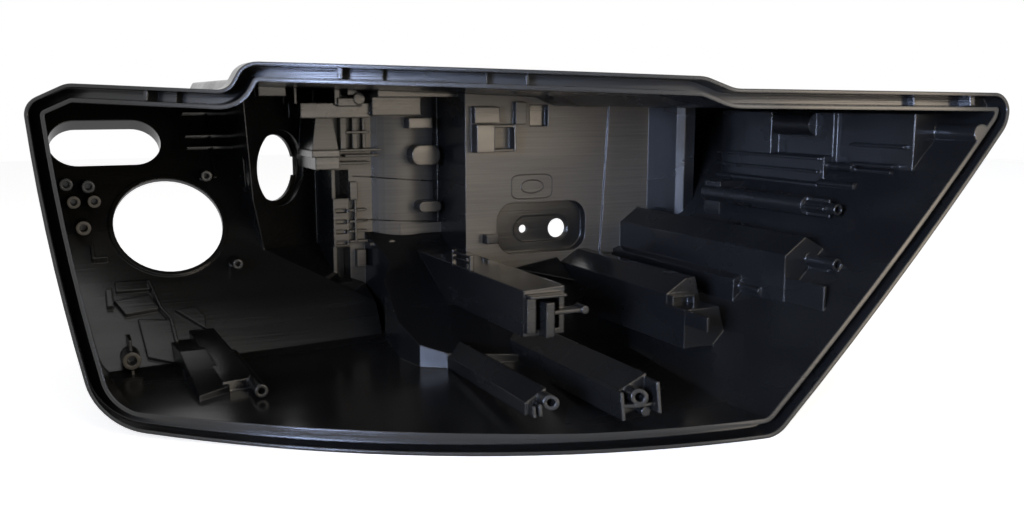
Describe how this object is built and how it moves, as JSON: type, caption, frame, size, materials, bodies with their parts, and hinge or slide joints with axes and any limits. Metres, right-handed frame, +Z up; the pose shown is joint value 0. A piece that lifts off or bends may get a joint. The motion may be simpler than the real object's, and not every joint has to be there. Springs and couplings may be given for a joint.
{
  "type": "vehicle headlamp housing",
  "caption": "Hollow moulded headlamp body with a swept open front, sealing channel, stepped back wall, cored towers and service openings.",
  "frame": {"origin": "centre of the round service opening in the pitched back wall", "axes": "+Z up as fitted, +Y backwards along the draw direction (the open front faces -Y), +X along the lamp towards its pointed end"},
  "size_m": [0.5928, 0.4248, 0.2348],
  "materials": {
    "housing": "semi-gloss black moulded polypropylene"
  },
  "bodies": {
    "root": {"housing": "housing"}
  },
  "joints": []
}
